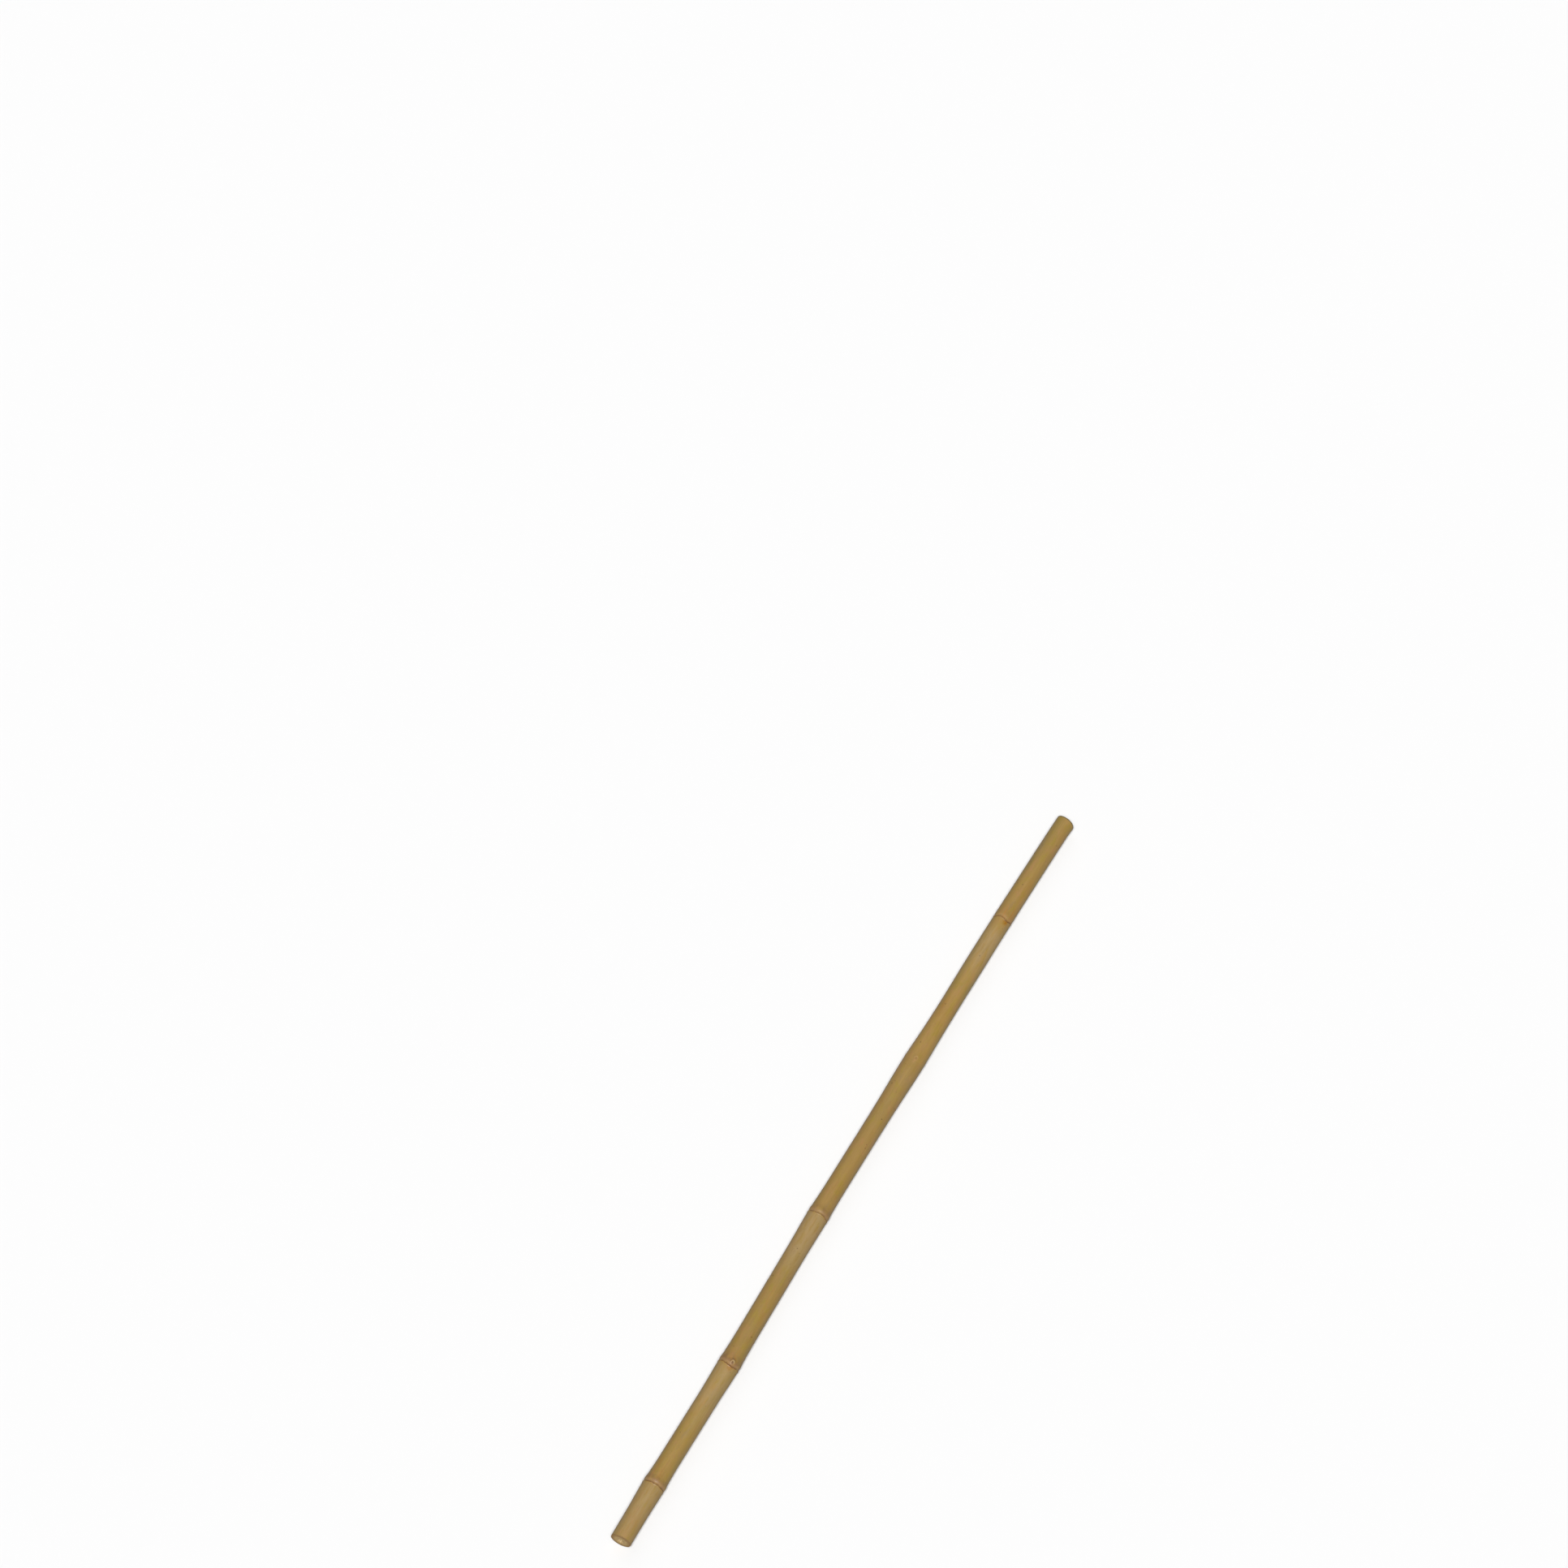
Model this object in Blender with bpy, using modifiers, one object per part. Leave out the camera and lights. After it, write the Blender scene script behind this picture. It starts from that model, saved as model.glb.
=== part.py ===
"""A bamboo garden cane: one dried and sawn length of culm, lying on its side.

The cane lies along X, with its thin end at +X, and rests on the plane z = 0 on small flats
under its larger nodes. Distances along it, named from_tip, run from the thin end to the butt.
Angles round it run from +Y towards +Z.
"""

import math
from collections import namedtuple

import bmesh
import bpy
from mathutils import Vector

MM = 0.001
LENGTH = 600 * MM
TIP_RADIUS = 6.36 * MM
BUTT_RADIUS = 7.00 * MM
SIDES = 24

# The culm is thicker in the middle of its second internode and has a waist after that.
BARREL = (0.09 * MM, 125 * MM, 22 * MM)
WAIST = (-0.08 * MM, 157 * MM, 14 * MM)

# Lumen: the bore of the hollow internode that each saw cut opened, down to its diaphragm
TIP_LUMEN_RADIUS = 2.2 * MM
BUTT_LUMEN_RADIUS = 2.5 * MM
DIAPHRAGM = 6 * MM
DOME = 1.2 * MM

# Saw cuts: a small broken edge, and the angle by which each cut misses a right angle
EDGE = 0.25 * MM
TIP_CUT_ANGLE = math.radians(6)
BUTT_CUT_ANGLE = math.radians(-3)
CUT_FADE = 12 * MM

# How deep the floor's plane cuts into a node that the cane rests on
SINK = 0.18 * MM
TIP_HEIGHT = 6.95 * MM
FIRST_NODE_HEIGHT = 6.85 * MM

Node = namedtuple("Node", "from_tip swell reach_up reach_down ridge scar dip bud_angle bud")
NODES = (
    Node(85 * MM, 0.04 * MM, 12 * MM, 30 * MM, 0.10 * MM, 0.12 * MM, 2.6 * MM, 125, 0.18 * MM),
    Node(209 * MM, 0.72 * MM, 22 * MM, 28 * MM, 0.10 * MM, 0.07 * MM, 1.4 * MM, 103, 0.28 * MM),
    Node(340 * MM, 0.42 * MM, 13 * MM, 18 * MM, 0.24 * MM, 0.18 * MM, 1.8 * MM, 305, 0.38 * MM),
    Node(461 * MM, 0.46 * MM, 12 * MM, 16 * MM, 0.26 * MM, 0.20 * MM, 1.9 * MM, 112, 0.42 * MM),
    Node(558 * MM, 0.50 * MM, 11 * MM, 15 * MM, 0.28 * MM, 0.20 * MM, 1.7 * MM, 302, 0.40 * MM),
)

# Parts of a node, as distances above its sheath scar (towards the tip) and widths
RIDGE_ABOVE = 3.4 * MM
RIDGE_WIDTH = 1.7 * MM
SCAR_WIDTH = 0.45 * MM
GROOVE_ABOVE = 1.2 * MM
GROOVE_WIDTH = 0.65 * MM
GROOVE_SHARE = 0.5
SLANT_REACH = 8 * MM
DIP_SPREAD = math.radians(48)
BUD_ABOVE = 2.6 * MM
BUD_LENGTH = 2.3 * MM
BUD_WIDTH = 1.9 * MM
SULCUS_DEPTH = 0.20 * MM
SULCUS_WIDTH = 2.4 * MM
SULCUS_START = 6 * MM
SULCUS_END = 60 * MM

# Bends of the axis in plan: where each is, the change of slope there and how round it is
FIRST_SLOPE = 0.027
TIP_OFFSET = -1.10 * MM
Bend = namedtuple("Bend", "from_tip turn roundness")
BENDS = (
    Bend(15 * MM, -0.0105, 10 * MM),
    Bend(85 * MM, -0.0135, 20 * MM),
    Bend(130 * MM, -0.0090, 20 * MM),
    Bend(175 * MM, 0.0160, 20 * MM),
    Bend(212 * MM, -0.0070, 8 * MM),
    Bend(340 * MM, -0.0200, 8 * MM),
    Bend(461 * MM, 0.0200, 8 * MM),
    Bend(558 * MM, -0.0180, 8 * MM),
)

# Rings of the mesh: their distances above a node's scar, and the steps along an internode
NODE_RINGS = (-9, -5.5, -3.2, -1.7, -0.9, -0.4, 0, 0.4, 0.8, 1.2, 1.7, 2.4, 3.4, 4.4, 5.8, 8.5)
INTERNODE_STEP = 17 * MM

SKIN_COLOUR = (0.381, 0.238, 0.077, 1.0)
SKIN_ROUGHNESS = 0.45


def bell(distance, width):
    """A smooth hump, 1 at its middle."""
    return math.exp(-((distance / width) ** 2))


def smooth(share):
    """0 to 1 with level ends."""
    share = min(max(share, 0.0), 1.0)
    return share * share * (3 - 2 * share)


def angle_between(one, other):
    """The angle from other to one, from -pi to pi."""
    return (one - other + math.pi) % (2 * math.pi) - math.pi


def internode_radius(from_tip):
    """The culm's radius without its nodes."""
    radius = TIP_RADIUS + (BUTT_RADIUS - TIP_RADIUS) * from_tip / LENGTH
    for height, place, width in (BARREL, WAIST):
        radius += height * bell(from_tip - place, width)
    return radius


def node_rise(node, from_tip):
    """What a node adds to the radius: its long swelling, ridge, sheath scar and groove."""
    above = node.from_tip - from_tip
    reach = node.reach_up if above > 0 else node.reach_down
    rise = node.swell * bell(above, reach)
    rise += node.ridge * bell(above - RIDGE_ABOVE, RIDGE_WIDTH)
    rise += node.scar * bell(above, SCAR_WIDTH)
    rise -= node.scar * GROOVE_SHARE * bell(above - GROOVE_ABOVE, GROOVE_WIDTH)
    return rise


def skin_radius(from_tip):
    """The turned radius of the culm, nodes included."""
    return internode_radius(from_tip) + sum(node_rise(node, from_tip) for node in NODES)


def bud_relief(node, from_tip, angle, radius):
    """The raised scar of a node's bud, and the shallow groove that the bud left above it."""
    above = node.from_tip - from_tip
    across = angle_between(angle, math.radians(node.bud_angle)) * radius
    relief = node.bud * bell(above - BUD_ABOVE, BUD_LENGTH) * bell(across, BUD_WIDTH)
    start = smooth((above - SULCUS_START) / SULCUS_START)
    end = smooth((SULCUS_END - above) / (SULCUS_END - SULCUS_START))
    return relief - SULCUS_DEPTH * start * end * bell(across, SULCUS_WIDTH)


def scar_dip(node, from_tip, angle):
    """How far the rings of a node dip towards the butt, under its bud."""
    turn = angle_between(angle, math.radians(node.bud_angle))
    return node.dip * bell(turn, DIP_SPREAD) * bell(from_tip - node.from_tip, SLANT_REACH)


def axis_offset(from_tip):
    """The axis's place in Y: straight stretches with rounded bends."""
    offset = TIP_OFFSET + FIRST_SLOPE * from_tip
    for bend in BENDS:
        past = from_tip - bend.from_tip
        offset += bend.turn * (past + math.hypot(past, bend.roundness)) / 2
    return offset


def rest_height(node):
    """The axis's height over a node that rests on the floor."""
    return skin_radius(node.from_tip - RIDGE_ABOVE) - SINK


def axis_height(from_tip):
    """The axis's height, eased from one node to the next."""
    places = [0.0] + [node.from_tip for node in NODES] + [LENGTH]
    heights = [TIP_HEIGHT, FIRST_NODE_HEIGHT] + [rest_height(node) for node in NODES[1:]]
    heights.append(heights[-1])
    for start, end, low, high in zip(places, places[1:], heights, heights[1:]):
        if from_tip <= end:
            return low + (high - low) * smooth((from_tip - start) / (end - start))
    return heights[-1]


def ring_places():
    """Distances from the tip of the skin's rings, close together at the nodes."""
    places = [0.0]
    for node in NODES:
        places += [node.from_tip - above * MM for above in reversed(NODE_RINGS)]
    places.append(LENGTH)
    filled = [places[0]]
    for start, end in zip(places, places[1:]):
        steps = max(1, round((end - start) / INTERNODE_STEP))
        filled += [start + (end - start) * (i + 1) / steps for i in range(steps)]
    return filled[1:-1]


def half_section():
    """The outline to turn, as (radius, distance from the tip), from one bore's end to the other's."""
    tip_floor = NODES[0].from_tip - DIAPHRAGM
    butt_floor = NODES[-1].from_tip + DIAPHRAGM
    tip_skin = skin_radius(0.0)
    butt_skin = skin_radius(LENGTH)
    outline = [(0.0, tip_floor), (TIP_LUMEN_RADIUS * 0.7, tip_floor - DOME * 0.35)]
    outline += [(TIP_LUMEN_RADIUS, tip_floor - DOME), (TIP_LUMEN_RADIUS, CUT_FADE)]
    outline += [(TIP_LUMEN_RADIUS, 0.0), (tip_skin - EDGE, 0.0), (tip_skin, EDGE)]
    outline += [(skin_radius(place), place) for place in ring_places()]
    outline += [(butt_skin, LENGTH - EDGE), (butt_skin - EDGE, LENGTH)]
    outline += [(BUTT_LUMEN_RADIUS, LENGTH), (BUTT_LUMEN_RADIUS, LENGTH - CUT_FADE)]
    outline.append((BUTT_LUMEN_RADIUS, butt_floor + DOME))
    outline += [(BUTT_LUMEN_RADIUS * 0.7, butt_floor + DOME * 0.35), (0.0, butt_floor)]
    return outline


def turned_culm():
    """The half section turned into a closed body, standing upright with its tip at the top."""
    outline = half_section()
    points = [Vector((radius, 0, LENGTH - from_tip)) for radius, from_tip in outline]
    edges = [(i, i + 1) for i in range(len(points) - 1)]
    mesh = bpy.data.meshes.new("culm_outline")
    mesh.from_pydata(points, edges, [])
    outline_object = bpy.data.objects.new("culm_outline", mesh)
    bpy.context.scene.collection.objects.link(outline_object)
    screw = outline_object.modifiers.new("turn", "SCREW")
    screw.steps = SIDES
    screw.render_steps = SIDES
    screw.use_merge_vertices = True
    screw.merge_threshold = 0.00001
    graph = bpy.context.evaluated_depsgraph_get()
    culm = bpy.data.meshes.new_from_object(outline_object.evaluated_get(graph))
    bpy.data.objects.remove(outline_object)
    return culm


def laid_down(point):
    """Where a point of the upright turned culm lies in the finished cane."""
    from_tip = LENGTH - point.z
    radius = math.hypot(point.x, point.y)
    angle = math.atan2(point.y, point.x)
    on_skin = smooth((radius - BUTT_LUMEN_RADIUS) / BUTT_LUMEN_RADIUS)
    radius += on_skin * sum(bud_relief(node, from_tip, angle, radius) for node in NODES)
    shift = on_skin * sum(scar_dip(node, from_tip, angle) for node in NODES)
    across = radius * math.cos(angle)
    tip_cut = math.tan(TIP_CUT_ANGLE) * across * smooth(1 - from_tip / CUT_FADE)
    butt_cut = math.tan(BUTT_CUT_ANGLE) * across * smooth(1 - point.z / CUT_FADE)
    along = LENGTH / 2 - from_tip - shift + tip_cut + butt_cut
    up = axis_height(from_tip) + radius * math.sin(angle)
    return Vector((along, axis_offset(from_tip) + across, up))


def bounds_middle(mesh):
    """The middle of the mesh's box in X and Y."""
    middle = Vector((0, 0, 0))
    for i in (0, 1):
        values = [vertex.co[i] for vertex in mesh.vertices]
        middle[i] = (min(values) + max(values)) / 2
    return middle


def floor_cutter(collection):
    """A slab whose top is the plane that the cane rests on."""
    depth = 10 * MM
    bpy.ops.mesh.primitive_cube_add(size=1, location=(0, 0, -depth / 2))
    slab = bpy.context.object
    slab.name = "floor_cutter"
    slab.scale = (LENGTH * 1.2, 60 * MM, depth)
    slab.hide_render = True
    slab.display_type = "WIRE"
    for old in list(slab.users_collection):
        old.objects.unlink(slab)
    collection.objects.link(slab)
    return slab


def skin_material():
    """Dried bamboo skin: golden tan and satin."""
    material = bpy.data.materials.new("bamboo_skin")
    material.use_nodes = True
    shader = material.node_tree.nodes["Principled BSDF"]
    shader.inputs["Base Color"].default_value = SKIN_COLOUR
    shader.inputs["Roughness"].default_value = SKIN_ROUGHNESS
    shader.inputs["Metallic"].default_value = 0.0
    material.diffuse_color = SKIN_COLOUR
    return material


def build_cane(parts, cutters):
    """The cane, with the flats that it rests on cut by the floor's plane."""
    mesh = turned_culm()
    mesh.name = "cane"
    for vertex in mesh.vertices:
        vertex.co = laid_down(vertex.co)
    middle = bounds_middle(mesh)
    for vertex in mesh.vertices:
        vertex.co -= middle
    work = bmesh.new()
    work.from_mesh(mesh)
    bmesh.ops.recalc_face_normals(work, faces=work.faces)
    work.to_mesh(mesh)
    work.free()
    mesh.materials.clear()
    mesh.materials.append(skin_material())
    cane = bpy.data.objects.new("cane", mesh)
    parts.objects.link(cane)
    flats = cane.modifiers.new("flats", "BOOLEAN")
    flats.operation = "DIFFERENCE"
    flats.object = floor_cutter(cutters)
    mesh.shade_smooth()
    mesh.set_sharp_from_angle(angle=math.radians(40))


for old_object in list(bpy.data.objects):
    bpy.data.objects.remove(old_object)
parts_collection = bpy.data.collections.new("bamboo_cane")
cutters_collection = bpy.data.collections.new("cutters")
for new_collection in (parts_collection, cutters_collection):
    bpy.context.scene.collection.children.link(new_collection)
build_cane(parts_collection, cutters_collection)
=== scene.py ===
"""A bamboo garden cane: one dried, sawn length of culm lying on a pale floor.

Lengths are in metres. The cane lies along X with its thin end at +X. Distances named from_tip
run from the thin end to the butt, and angles round the culm run from +Y towards +Z.
"""

import math
from collections import namedtuple

import bpy
import numpy as np
from mathutils import Matrix, Vector


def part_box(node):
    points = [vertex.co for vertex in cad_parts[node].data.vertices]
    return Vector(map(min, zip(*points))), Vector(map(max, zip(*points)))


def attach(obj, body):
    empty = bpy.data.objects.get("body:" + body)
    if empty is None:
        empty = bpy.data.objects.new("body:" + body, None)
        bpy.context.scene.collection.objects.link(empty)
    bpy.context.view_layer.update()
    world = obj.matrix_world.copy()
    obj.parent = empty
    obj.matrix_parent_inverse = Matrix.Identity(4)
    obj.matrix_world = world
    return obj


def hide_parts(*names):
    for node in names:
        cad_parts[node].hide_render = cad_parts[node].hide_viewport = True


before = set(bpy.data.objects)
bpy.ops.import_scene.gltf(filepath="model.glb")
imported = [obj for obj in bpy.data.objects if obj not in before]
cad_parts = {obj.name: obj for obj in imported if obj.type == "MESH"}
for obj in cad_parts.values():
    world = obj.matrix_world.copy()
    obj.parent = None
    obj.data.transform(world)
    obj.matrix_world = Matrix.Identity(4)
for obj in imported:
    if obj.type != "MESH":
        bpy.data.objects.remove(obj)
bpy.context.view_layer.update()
cad_low, cad_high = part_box("cane")

MM = 0.001

# The camera
# It looks down on the cane from its butt's side, as the photograph does: the thin end is the
# far one, up and to the right. The lens is long, because the photograph's perspective is weak.

PHOTO_SIDE_PX = 1932
TIP_PX = (1312.4, 1013.5)
TIP_DIAMETER_PX = 23.3
TIP_DIAMETER = 12.74 * MM
CAMERA_ELEVATION = math.radians(60.1)
CAMERA_BEARING = math.radians(209.25)
LENS_MM = 150
SENSOR_MM = 36

back = Vector((
    math.cos(CAMERA_ELEVATION) * math.cos(CAMERA_BEARING),
    math.cos(CAMERA_ELEVATION) * math.sin(CAMERA_BEARING),
    math.sin(CAMERA_ELEVATION),
))
right = Vector((0, 0, 1)).cross(back).normalized()
up = back.cross(right)
focal_px = LENS_MM / SENSOR_MM * PHOTO_SIDE_PX
tip_depth = focal_px * TIP_DIAMETER / TIP_DIAMETER_PX
tip_right = (TIP_PX[0] - PHOTO_SIDE_PX / 2) / focal_px * tip_depth
tip_up = (PHOTO_SIDE_PX / 2 - TIP_PX[1]) / focal_px * tip_depth
tip_centre = Vector((299.8 * MM, -0.97 * MM, 6.95 * MM))

camera_data = bpy.data.cameras.new("camera")
camera_data.lens = LENS_MM
camera_data.sensor_width = SENSOR_MM
camera_data.clip_end = 30
camera = bpy.data.objects.new("camera", camera_data)
bpy.context.scene.collection.objects.link(camera)
camera.matrix_world = Matrix((right, up, back)).transposed().to_4x4()
camera.location = tip_centre - right * tip_right - up * tip_up + back * tip_depth
bpy.context.scene.camera = camera

# The culm
# One piece of dried bamboo: a tapered, thick-walled tube, grown in internodes that meet at swollen
# nodes. A saw cut it to length, and opened the hollow of its first and its last internode.

LENGTH = 600 * MM
TIP_RADIUS = 6.36 * MM
BUTT_RADIUS = 7.00 * MM
Belly = namedtuple("Belly", "height from_tip width")
BELLIES = (Belly(0.09 * MM, 125 * MM, 22 * MM), Belly(-0.08 * MM, 157 * MM, 14 * MM))
TIP_LUMEN_RADIUS = 2.2 * MM
BUTT_LUMEN_RADIUS = 2.5 * MM
DIAPHRAGM = 6 * MM
DOME = 1.2 * MM
EDGE = 0.25 * MM
TIP_CUT_ANGLE = math.radians(6)
TIP_CUT_LEAN = math.radians(5)
BUTT_CUT_ANGLE = math.radians(-3)
CUT_FADE = 12 * MM
SINK = 0.18 * MM
TIP_HEIGHT = 6.95 * MM
FIRST_NODE_HEIGHT = 6.85 * MM

Node = namedtuple("Node", "from_tip swell reach_up reach_down ridge scar dip lobe bud_angle bud")
NODES = (
    Node(86.4 * MM, 0.04 * MM, 12 * MM, 30 * MM, 0.10 * MM, 0.12 * MM, 2.1 * MM, 2.3 * MM, 125, 0.18 * MM),
    Node(211 * MM, 0.72 * MM, 22 * MM, 28 * MM, 0.10 * MM, 0.03 * MM, 1.4 * MM, 0.0, 103, 0.22 * MM),
    Node(340 * MM, 0.42 * MM, 13 * MM, 18 * MM, 0.24 * MM, 0.18 * MM, 1.8 * MM, 0.5 * MM, 305, 0.38 * MM),
    Node(461 * MM, 0.46 * MM, 12 * MM, 16 * MM, 0.26 * MM, 0.20 * MM, 1.9 * MM, 0.6 * MM, 112, 0.42 * MM),
    Node(558 * MM, 0.50 * MM, 11 * MM, 15 * MM, 0.28 * MM, 0.20 * MM, 1.7 * MM, 0.4 * MM, 302, 0.40 * MM),
)
Marks = namedtuple("Marks", "line line_width wax wax_start stain arch pit streaks dusk")
MARKS = (
    Marks(0.75, 0.70 * MM, 0.85, 20 * MM, 1.0, 0.0, 0.0, 1.6, 0.0),
    Marks(0.03, 0.32 * MM, 0.12, 12 * MM, 0.0, 0.42, 0.25, 0.2, 0.1),
    Marks(1.05, 0.36 * MM, 0.75, 1.5 * MM, 0.5, 0.9, 0.9, 0.8, 0.5),
    Marks(1.15, 0.38 * MM, 0.65, 2.0 * MM, 0.7, 1.0, 1.0, 0.9, 0.7),
    Marks(1.20, 0.38 * MM, 0.60, 1.5 * MM, 0.6, 0.95, 0.95, 0.8, 0.6),
)
RIDGE_ABOVE = 3.4 * MM
RIDGE_WIDTH = 1.7 * MM
SCAR_WIDTH = 0.45 * MM
GROOVE_ABOVE = 1.2 * MM
GROOVE_WIDTH = 0.65 * MM
GROOVE_SHARE = 0.5
SLANT_REACH = 8 * MM
DIP_SPREAD = math.radians(48)
LOBE_TURN = math.radians(-85)
LOBE_SPREAD = math.radians(32)
TIP_FLARE = 0.3 * MM
FLARE_REACH = 8 * MM
BUD_ABOVE = 2.6 * MM
BUD_LENGTH = 2.3 * MM
BUD_WIDTH = 1.9 * MM
BESIDE_BUD = 3.5 * MM
EYE_LENGTH = 1.5 * MM
EYE_WIDTH = 1.15 * MM
PIT_START, PIT_FULL = 0.60, 0.85
RIM_LEVEL, RIM_BAND = 0.38, 0.12
HALO_LEVEL, HALO_BAND = 0.12, 0.06
PIT_SHARE, RIM_SHARE = 0.55, 0.3
SULCUS_DEPTH = 0.20 * MM
SULCUS_WIDTH = 2.4 * MM
SULCUS_START = 6 * MM
SULCUS_END = 60 * MM
SCAR_WAVES = 1.6 * MM
WAVES_REACH = 2.5 * MM
TORN_DEPTH = 0.35 * MM
UNEVENNESS = 0.05 * MM
LINE_FADE, LINE_END = 7 * MM, 9 * MM
LIP_ABOVE, LIP_WIDTH = 1.5 * MM, 1.2 * MM
STAIN_BELOW, STAIN_LENGTH, STAIN_WIDTH = 1.4 * MM, 2.1 * MM, 1.9 * MM
WAX_FADE, WAX_END = 24 * MM, 62 * MM
STREAKS_FADE, STREAKS_END = 3 * MM, 14 * MM
DUSK_FADE, DUSK_END = 1.5 * MM, 10 * MM
TIP_SOIL, BUTT_SOIL = 1.0 * MM, 0.6 * MM
FRAY_START, FRAY_FULL = 5.0 * MM, 6.0 * MM

FIRST_SLOPE = 0.027
TIP_OFFSET = -1.10 * MM
Bend = namedtuple("Bend", "from_tip turn roundness")
BENDS = (
    Bend(15 * MM, -0.0105, 10 * MM),
    Bend(85 * MM, -0.0135, 20 * MM),
    Bend(130 * MM, -0.0090, 20 * MM),
    Bend(175 * MM, 0.0160, 20 * MM),
    Bend(212 * MM, -0.0070, 8 * MM),
    Bend(340 * MM, -0.0200, 8 * MM),
    Bend(461 * MM, 0.0200, 8 * MM),
    Bend(558 * MM, -0.0180, 8 * MM),
)

CULM_SIDES = 108
FINE_STEP = 0.17 * MM
COARSE_STEP = 1.25 * MM
FINE_REACH = 3.5 * MM
COARSE_REACH = 13 * MM
CUT_RINGS = 12
LUMEN_RINGS = 8
DOME_RINGS = 4
SKIN_ZONE, CUT_ZONE, LUMEN_ZONE = 0.0, 1.0, 2.0
ZONE_STARTS = (-1.0, 0.4, 1.6)


def bell(distance, width):
    """A smooth hump, 1 at its middle."""
    return math.exp(-((distance / width) ** 2))


def smooth(share):
    """0 to 1 with level ends."""
    share = min(max(share, 0.0), 1.0)
    return share * share * (3 - 2 * share)


def skin_radius(from_tip):
    """The culm's turned radius: the internodes, then each node's swelling, ridge, scar and groove."""
    radius = TIP_RADIUS + (BUTT_RADIUS - TIP_RADIUS) * from_tip / LENGTH
    for belly in BELLIES:
        radius += belly.height * bell(from_tip - belly.from_tip, belly.width)
    for node in NODES:
        above = node.from_tip - from_tip
        radius += node.swell * bell(above, node.reach_up if above > 0 else node.reach_down)
        radius += node.ridge * bell(above - RIDGE_ABOVE, RIDGE_WIDTH)
        radius += node.scar * bell(above, SCAR_WIDTH)
        radius -= node.scar * GROOVE_SHARE * bell(above - GROOVE_ABOVE, GROOVE_WIDTH)
    return radius


def axis_offset(from_tip):
    """The axis's place in Y: straight stretches with rounded bends."""
    offset = TIP_OFFSET + FIRST_SLOPE * from_tip
    for bend in BENDS:
        past = from_tip - bend.from_tip
        offset += bend.turn * (past + math.hypot(past, bend.roundness)) / 2
    return offset


def axis_height(from_tip):
    """The axis's height, eased from one node to the next."""
    places = [0.0] + [node.from_tip for node in NODES] + [LENGTH]
    heights = [TIP_HEIGHT, FIRST_NODE_HEIGHT]
    heights += [skin_radius(node.from_tip - RIDGE_ABOVE) - SINK for node in NODES[1:]]
    heights.append(heights[-1])
    for start, end, low, high in zip(places, places[1:], heights, heights[1:]):
        if from_tip <= end:
            return low + (high - low) * smooth((from_tip - start) / (end - start))
    return heights[-1]


def skin_places():
    """Distances from the tip of the skin's rings, close together at the nodes and the cuts."""
    places = [EDGE]
    marks = [0.0, LENGTH] + [node.from_tip for node in NODES]
    while places[-1] < LENGTH - EDGE:
        nearest = min(abs(places[-1] - mark) for mark in marks)
        share = smooth((nearest - FINE_REACH) / (COARSE_REACH - FINE_REACH))
        places.append(places[-1] + FINE_STEP + (COARSE_STEP - FINE_STEP) * share)
    places[-1] = LENGTH - EDGE
    return places


def cut_half(lumen_radius, skin_edge, cut_place, inward, floor_place):
    """The half section from a bore's floor, along its wall and across the saw cut to the skin."""
    rings = []
    for i in range(DOME_RINGS):
        turn = i / DOME_RINGS * math.pi / 2
        dome = floor_place - inward * DOME * (1 - math.cos(turn))
        rings.append((lumen_radius * math.sin(turn), dome, LUMEN_ZONE))
    wall_start = floor_place - inward * DOME
    for i in range(LUMEN_RINGS):
        share = (i / LUMEN_RINGS) ** 0.5
        place = wall_start + (cut_place + inward * EDGE - wall_start) * share
        rings.append((lumen_radius, place, LUMEN_ZONE))
    rings.append((lumen_radius, cut_place + inward * EDGE / 2, LUMEN_ZONE))
    for i in range(CUT_RINGS + 1):
        radius = lumen_radius + (skin_edge - lumen_radius) * i / CUT_RINGS
        rings.append((radius, cut_place, CUT_ZONE))
    rings.append((skin_edge + EDGE * 0.7, cut_place + inward * EDGE * 0.3, CUT_ZONE))
    return rings


def half_section():
    """Rings as (radius, distance from the tip, zone), from the tip's bore to the butt's."""
    tip_half = cut_half(TIP_LUMEN_RADIUS, skin_radius(0) - EDGE, 0.0, 1,
                        NODES[0].from_tip - DIAPHRAGM)
    butt_half = cut_half(BUTT_LUMEN_RADIUS, skin_radius(LENGTH) - EDGE, LENGTH, -1,
                         NODES[-1].from_tip + DIAPHRAGM)
    skin = [(skin_radius(place), place, SKIN_ZONE) for place in skin_places()]
    return tip_half + skin + butt_half[::-1]


def section_line():
    """A line mesh with one point a ring, which carries what the turned culm reads there."""
    rings = half_section()
    mesh = bpy.data.meshes.new("half_section")
    mesh.vertices.add(len(rings))
    values = {
        "radius": [radius for radius, place, zone in rings],
        "from_tip": [place for radius, place, zone in rings],
        "zone": [zone for radius, place, zone in rings],
        "offset": [axis_offset(place) for radius, place, zone in rings],
        "height": [axis_height(place) for radius, place, zone in rings],
    }
    for name, numbers in values.items():
        mesh.attributes.new(name, "FLOAT", "POINT").data.foreach_set("value", numbers)
    line = bpy.data.objects.new("half_section", mesh)
    bpy.context.scene.collection.objects.link(line)
    return line


def wire(tree, socket, value):
    """Feeds a socket from another socket, or gives it a plain value."""
    if isinstance(value, bpy.types.NodeSocket):
        tree.links.new(value, socket)
    else:
        socket.default_value = value


def calc(tree, operation, *values):
    """A Math node's result."""
    node = tree.nodes.new("ShaderNodeMath")
    node.operation = operation
    for socket, value in zip(node.inputs, values):
        wire(tree, socket, value)
    return node.outputs[0]


def total(tree, *values):
    """The sum of several values."""
    result = values[0]
    for value in values[1:]:
        result = calc(tree, "ADD", result, value)
    return result


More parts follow.
